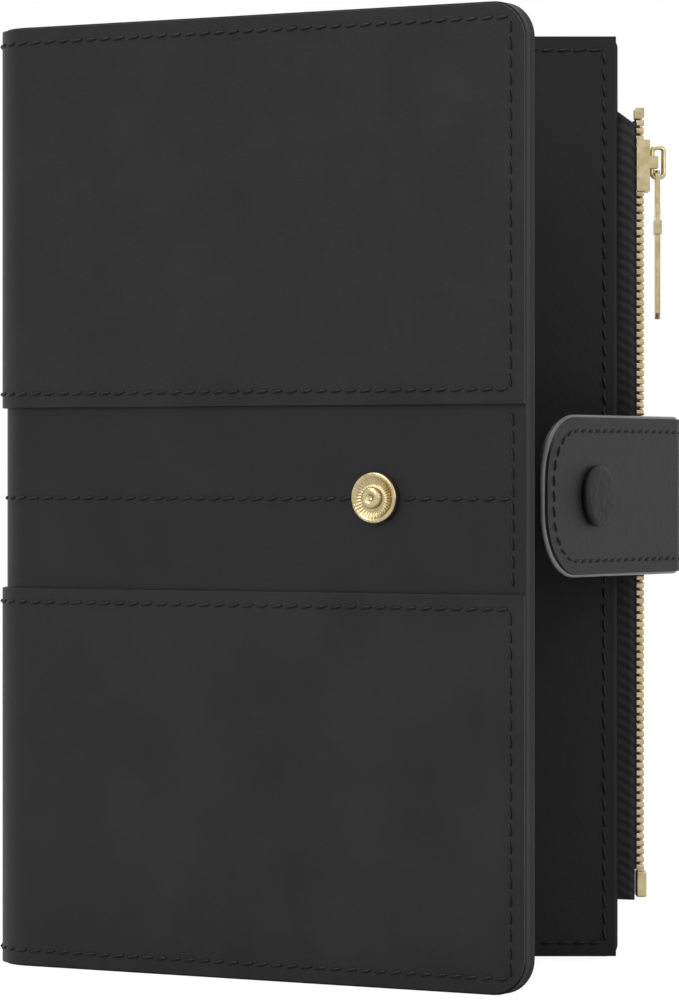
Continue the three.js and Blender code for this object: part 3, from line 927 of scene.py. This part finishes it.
@dataclass
class SnapStud:
    """The brass stud on the front cover: a ribbed dish round a ball post."""

    u: float = 64.2
    z: float = 75.0
    depth: float = 0.8
    radius: float = 3.95
    ribs: int = 36
    sides: int = 144

    def build(self, covers: Covers) -> bpy.types.Object:
        """Turns the stud's profile round its axis, with ribs in the dish.

        Args:
            covers: the covers, which give the stud's place.

        Returns:
            The stud.
        """
        profile = [
            (0.0, 1.55), (0.45, 1.6), (0.55, 2.15), (1.0, 2.3), (1.5, 2.1), (1.7, 1.75), (1.55, 1.35),
            (1.45, 0.95), (1.7, 0.7), (2.3, 0.72), (3.0, 0.92), (3.25, 1.12), (3.55, 1.3),
            (3.8, 1.22), (3.95, 0.95), (3.95, 0.35), (3.8, 0.1), (0.0, 0.1),
        ]
        origin = covers.on_front(self.u, self.z, self.depth)
        out, side, up = covers.out, covers.along, Vector((0, 0, 1))
        points, faces = [], []
        for ring, (r, h) in enumerate(profile):
            for k in range(self.sides):
                angle = math.tau * k / self.sides
                lift = 0.16 * math.cos(self.ribs * angle) if 1.9 < r < 3.2 and h > 0.5 else 0.0
                spoke = side * math.cos(angle) + up * math.sin(angle)
                points.append(origin + spoke * max(r, 0.001) + out * (h + lift))
                if ring:
                    p = (ring - 1) * self.sides + k
                    q = (ring - 1) * self.sides + (k + 1) % self.sides
                    faces.append((p, q, q + self.sides, p + self.sides))
        last = (len(profile) - 1) * self.sides
        faces.append(tuple(range(self.sides)))
        faces.append(tuple(last + k for k in reversed(range(self.sides))))
        return mesh_object("ribbed_stud", points, faces)

    def dress(self, stud: bpy.types.Object, finishes: dict) -> None:
        """Finishes the stud and the rivet behind it.

        Args:
            stud: the stud from build.
            finishes: materials by name.
        """
        finish_mesh(stud, finishes["brass"], 0)
        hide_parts("snap_stud")
        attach(stud, Body.FRONT.value)
        rivet = finish_mesh(copy_of("stud_rivet", "rivet"), finishes["brass"], 0.15)
        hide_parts("stud_rivet")
        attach(rivet, Body.FRONT.value)
        LOG.info("made %s and %s", stud.name, rivet.name)


@dataclass
class Studio:
    """White floor, soft lamps and the camera of the photograph."""

    camera_mm: tuple = (2.8, -769.1, 78.8)
    lens: float = 168.8
    shift_y: float = -0.0294

    def build(self) -> None:
        """Makes floor, lamps, world and camera."""
        floor = mesh_object(
            "floor", [(-3000, -3000, -0.05), (3000, -3000, -0.05), (3000, 3000, -0.05), (-3000, 3000, -0.05)],
            [(0, 1, 2, 3)],
        )
        made, tree = blank_material("white_floor")
        rays = add_node(tree, "ShaderNodeLightPath")
        paint = add_node(tree, "ShaderNodeBsdfDiffuse", {"Color": linear("#f4f4f4")})
        glow = add_node(tree, "ShaderNodeEmission", {"Strength": 1.17})
        share = add_node(
            tree, "ShaderNodeMath", {"operation": "MULTIPLY"}
        )
        share.inputs[1].default_value = 0.8
        tree.links.new(rays.outputs["Is Camera Ray"], share.inputs[0])
        mixed = add_node(
            tree, "ShaderNodeMixShader",
            links={0: share.outputs[0], 1: paint.outputs[0], 2: glow.outputs[0]},
        )
        add_node(tree, "ShaderNodeOutputMaterial", links={"Surface": mixed.outputs[0]})
        floor.data.materials.append(made)
        world = bpy.context.scene.world or bpy.data.worlds.new("studio")
        bpy.context.scene.world = world
        world.use_nodes = True
        sky = world.node_tree
        sky.nodes.clear()
        rays = add_node(sky, "ShaderNodeLightPath")
        seen = add_node(sky, "ShaderNodeMath", {"operation": "MAXIMUM"})
        sky.links.new(rays.outputs["Is Camera Ray"], seen.inputs[0])
        sky.links.new(rays.outputs["Is Glossy Ray"], seen.inputs[1])
        both = add_node(sky, "ShaderNodeMath", {"operation": "MAXIMUM"})
        sky.links.new(seen.outputs[0], both.inputs[0])
        sky.links.new(rays.outputs["Is Transmission Ray"], both.inputs[1])
        level = add_node(sky, "ShaderNodeMapRange", {"To Min": 0.4, "To Max": 1.0}, {"Value": both.outputs[0]})
        back = add_node(
            sky, "ShaderNodeBackground", {"Color": (1, 1, 1, 1)}, {"Strength": level.outputs["Result"]}
        )
        add_node(sky, "ShaderNodeOutputWorld", links={"Surface": back.outputs[0]})
        for name, place, size, power in [
            ("key", (-0.55, -0.75, 0.75), 0.7, 5.0),
            ("fill", (0.75, -0.6, 0.45), 0.8, 2.4),
            ("top", (-0.2, 0.15, 0.9), 0.7, 4.0),
        ]:
            lamp = bpy.data.lights.new(name, "AREA")
            lamp.shape = "SQUARE"
            lamp.size = size
            lamp.energy = power
            holder = bpy.data.objects.new(name, lamp)
            bpy.context.scene.collection.objects.link(holder)
            holder.location = place
            aim = Vector((0, -0.02, 0.075)) - Vector(place)
            holder.rotation_euler = aim.to_track_quat("-Z", "Y").to_euler()
        data = bpy.data.cameras.new("photo_camera")
        data.lens = self.lens
        data.sensor_width = 36
        data.shift_y = self.shift_y
        camera = bpy.data.objects.new("photo_camera", data)
        bpy.context.scene.collection.objects.link(camera)
        camera.location = Vector(self.camera_mm) * MM
        camera.rotation_euler = (math.radians(90), 0, 0)
        bpy.context.scene.camera = camera
        bpy.context.scene.view_settings.view_transform = "Standard"


def make_finishes() -> dict:
    """Makes every finish of the wallet, by name."""
    kinds = [
        Leather("cover_leather", "#141315", "#1f1e20"),
        Leather("band_leather", "#121113", "#19181a"),
        Leather("lining_leather", "#121213", "#18181a", roughness=0.6),
        Leather("strap_leather", "#1f1e20", "#282729"),
        Leather("cap_leather", "#121212", "#1e1e1e", wrinkle_mm=2.4, wrinkle_depth=0.35),
        Leather("thread", "#070708", "#141415", roughness=0.45, grain_mm=0.25, grain_depth=0.5),
        # The strap's edge paint in light grey: a painted highlight standing for the glossy edge's reflection of the
        # white studio.
        Leather("edge_paint_highlight", "#6a6869", "#8b898a", roughness=0.3, grain_depth=0.05),
        Brass("plated_brass"),
        Webbing("zip_webbing"),
    ]
    # paint: the strap's edge paint, coloured light grey as a painted highlight.
    keys = ["leather", "band", "lining", "strap", "wrinkled", "thread", "paint", "brass", "webbing"]
    return {key: kind.build() for key, kind in zip(keys, kinds)}


def carry_over(finishes: dict) -> None:
    """Gives the CAD nodes that stay visible their finish.

    Args:
        finishes: materials by name.
    """
    plan = {
        "zip_tape_front": "webbing",
        "zip_tape_rear": "webbing",
        "zip_top_stop_front": "brass",
        "zip_top_stop_rear": "brass",
        "pull_ring": "brass",
    }
    for node, finish in plan.items():
        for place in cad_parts[node].material_slots:
            place.link = "OBJECT"
            place.material = finishes[finish]
        LOG.info("dressed %s", node)


def main() -> None:
    """Builds the studio and every sub-assembly."""
    logging.basicConfig(level=logging.INFO, format="%(message)s")
    finishes = make_finishes()
    carry_over(finishes)
    covers, pocket, chain, strap, stud = Covers(), ZipPocket(), ZipChain(), Strap(), SnapStud()
    covers.dress(covers.build(), finishes)
    pocket.dress(pocket.build(), finishes)
    chain.dress(chain.build(), finishes)
    strap.dress(strap.build(), finishes)
    stud.dress(stud.build(covers), finishes)
    Studio().build()


if __name__ == "__main__":
    main()
